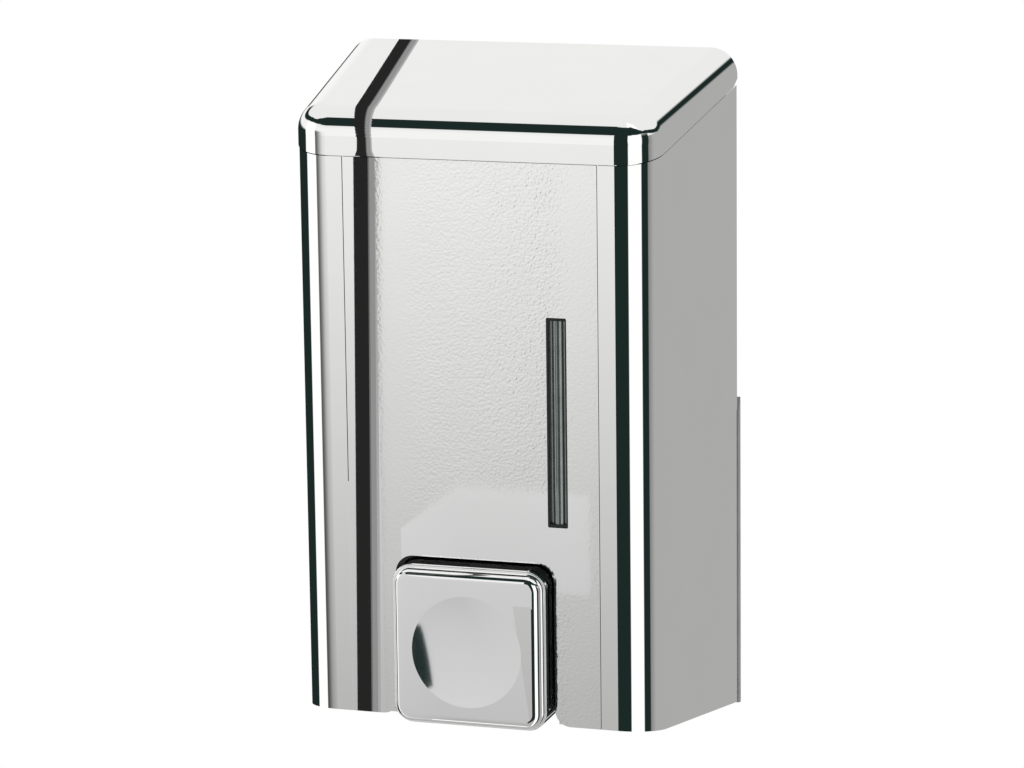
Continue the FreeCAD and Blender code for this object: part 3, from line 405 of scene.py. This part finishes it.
def button_finish():
    """Plating, polished a little less in the finger dimple, with a painted reflection: the dimple and the
    sides get a lighter base colour than the face round the dimple.
    """
    made, g, shader, where = chrome("chromed_button")
    low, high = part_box("button_cap")
    dimple_drop, outer, inner = 0.7, 15.6, 15.2
    face_start, face_end, satin, bright = 0.05, 0.3, 0.06, 0.99
    centre = Vector((0.0, low[1], (low[2] + high[2]) / 2 - MM * dimple_drop))
    offset = g.node("ShaderNodeVectorMath", operation="DISTANCE")
    g.feed(offset.inputs[0], where)
    offset.inputs[1].default_value = centre
    inside = g.step(offset.outputs["Value"], MM * outer, MM * inner)
    rough = g.math("ADD", PLATING_ROUGHNESS, g.math("MULTIPLY", inside, satin))
    g.feed(shader.inputs["Roughness"], rough)
    # painted reflection: the flat face round the dimple keeps the plating tone, while the dimple and the
    # sides are painted lighter
    face_painted_darker = g.step(g.axes(where)[1], low[1] + MM * face_start, low[1] + MM * face_end, 1.0, 0.0)
    face_painted_darker = g.math("MULTIPLY", face_painted_darker, g.math("SUBTRACT", 1.0, inside))
    g.feed(shader.inputs["Base Color"], g.mix(face_painted_darker, grey(bright), grey(PLATING_TONE)))
    return made


def steel(name, tone, roughness, along):
    """Bright steel with fine marks drawn out along one axis."""
    made, g, shader, where = material(name, 1.0, roughness)
    squeeze, darker, smoother, rougher = 0.06, 0.85, 0.06, 0.08
    stretch = g.node("ShaderNodeVectorMath", operation="MULTIPLY")
    g.feed(stretch.inputs[0], where)
    stretch.inputs[1].default_value = [squeeze if i == along else 1.0 for i in range(3)]
    marks = g.noise(stretch.outputs[0], 2200.0, 3.0)
    g.feed(shader.inputs["Base Color"], g.mix(marks, grey(tone * darker), grey(tone)))
    g.feed(shader.inputs["Roughness"], g.step(marks, 0.3, 0.7, roughness - smoother, roughness + rougher))
    return made


FINISHES = {
    "chromed_plastic": cover_finish,
    "chromed_lid": lambda: chrome("chromed_lid")[0],
    "chromed_button": button_finish,
    "clear_lens": lens_finish,
    "grey_plastic": lambda: plastic("grey_plastic", (0.46, 0.47, 0.47), 0.42),
    "tank_plastic": lambda: plastic("tank_plastic", (0.74, 0.77, 0.77), 0.30),
    "white_plastic": lambda: plastic("white_plastic", (0.76, 0.76, 0.73), 0.34),
    "acetal": lambda: plastic("acetal", (0.80, 0.80, 0.77), 0.26),
    "dark_plastic": lambda: plastic("dark_plastic", (0.016, 0.018, 0.018), 0.40),
    "seal_rubber": lambda: plastic("seal_rubber", (0.012, 0.012, 0.012), 0.62),
    "silicone": lambda: plastic("silicone", (0.62, 0.62, 0.59), 0.50),
    "stainless_ball": lambda: steel("stainless_ball", 0.66, 0.14, 2),
    "spring_steel": lambda: steel("spring_steel", 0.58, 0.26, 0),
    "pin_steel": lambda: steel("pin_steel", 0.56, 0.24, 0),
    "screw_steel": lambda: steel("screw_steel", 0.58, 0.30, 2),
}


def paint_nodes():
    for part in frame["record"]["subparts"]:
        dress(part["node"], made_finishes[part["material_slot"]])


# ---------------------------------------------------------------- pieces
def add_piece(name, points, faces, slot):
    """A piece on the housing, with its faces turned outwards."""
    mesh = bpy.data.meshes.new(name)
    mesh.from_pydata(points, [], faces)
    mesh.validate()
    shape = bmesh.new()
    shape.from_mesh(mesh)
    bmesh.ops.recalc_face_normals(shape, faces=shape.faces)
    shape.to_mesh(mesh)
    shape.free()
    mesh.materials.append(made_finishes[slot])
    made = bpy.data.objects.new(name, mesh)
    bpy.context.scene.collection.objects.link(made)
    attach(made, "housing")
    return made


def coil(name, node, axis, wire, turns):
    """A round wire wound about the line along axis, as long and as wide as the node."""
    low, high = (Vector(corner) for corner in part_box(node))
    across = [i for i in range(3) if i != axis]
    centre = (low + high) / 2
    radius = (high[across[0]] - low[across[0]]) / 2 - wire
    start, length = low[axis] + wire, high[axis] - low[axis] - 2 * wire
    per_turn, ring = 32, 12
    count = turns * per_turn
    points = []
    for i in range(count + 1):
        angle = 2 * math.pi * i / per_turn
        out = Vector((0, 0, 0))
        out[across[0]], out[across[1]] = math.cos(angle), math.sin(angle)
        along = Vector((0, 0, 0))
        along[axis] = 1.0
        middle = Vector(centre)
        middle[axis] = start + length * i / count
        middle += radius * out
        for j in range(ring):
            turn = 2 * math.pi * j / ring
            points.append(middle + wire * (math.cos(turn) * out + math.sin(turn) * along))
    faces = [tuple(range(ring)), tuple(range(count * ring, (count + 1) * ring))]
    for i in range(count):
        for j in range(ring):
            k = (j + 1) % ring
            faces.append((i * ring + j, i * ring + k, (i + 1) * ring + k, (i + 1) * ring + j))
    made = add_piece(name, points, faces, SPRING_SLOT)
    made.data.polygons.foreach_set("use_smooth", [len(face) == 4 for face in faces])
    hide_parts(node)
    return made


def springs():
    made = coil("return_coil", "return_spring", axis=1, wire=MM * 0.5, turns=5)
    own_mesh(made)
    made = coil("outlet_coil", "outlet_spring", axis=2, wire=MM * 0.22, turns=5)
    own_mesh(made)


def window_dark_frame():
    """A dark frame in the window's opening, round the lens."""
    low, high = (Vector(corner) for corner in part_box("window_lens"))
    flange, gap, bar, cap = 2.2, 0.03, 0.42, 0.8
    proud, sunk = 0.35, 0.6
    x0, x1 = low.x + MM * (flange + gap), high.x - MM * (flange + gap)
    z0, z1 = low.z + MM * (flange + gap), high.z - MM * (flange + gap)
    front, rear = low.y - MM * proud, low.y + MM * sunk
    outer = [(x0, z0), (x1, z0), (x1, z1), (x0, z1)]
    inner = [(x0 + MM * bar, z0 + MM * cap), (x1 - MM * bar, z0 + MM * cap),
             (x1 - MM * bar, z1 - MM * cap), (x0 + MM * bar, z1 - MM * cap)]
    lean = MM * 0.15
    rings = [[(x, front + lean, z) for x, z in outer], [(x, front, z) for x, z in inner],
             [(x, rear, z) for x, z in inner], [(x, rear, z) for x, z in outer]]
    points = [point for ring in rings for point in ring]
    faces = []
    for i in range(4):
        following = (i + 1) % 4
        for j in range(4):
            k = (j + 1) % 4
            faces.append((4 * i + j, 4 * i + k, 4 * following + k, 4 * following + j))
    # the dark frame darkens the edges of the window round the lens
    add_piece("window_dark_frame", points, faces, DARK_FRAME_SLOT)


# ---------------------------------------------------------------- the scene
bpy.context.scene.view_settings.view_transform = "Standard"
studio()
eye = camera()
floor()
stripe_panels(eye)
button_panels()
made_finishes = {name: build() for name, build in FINISHES.items()}
paint_nodes()
springs()
window_dark_frame()
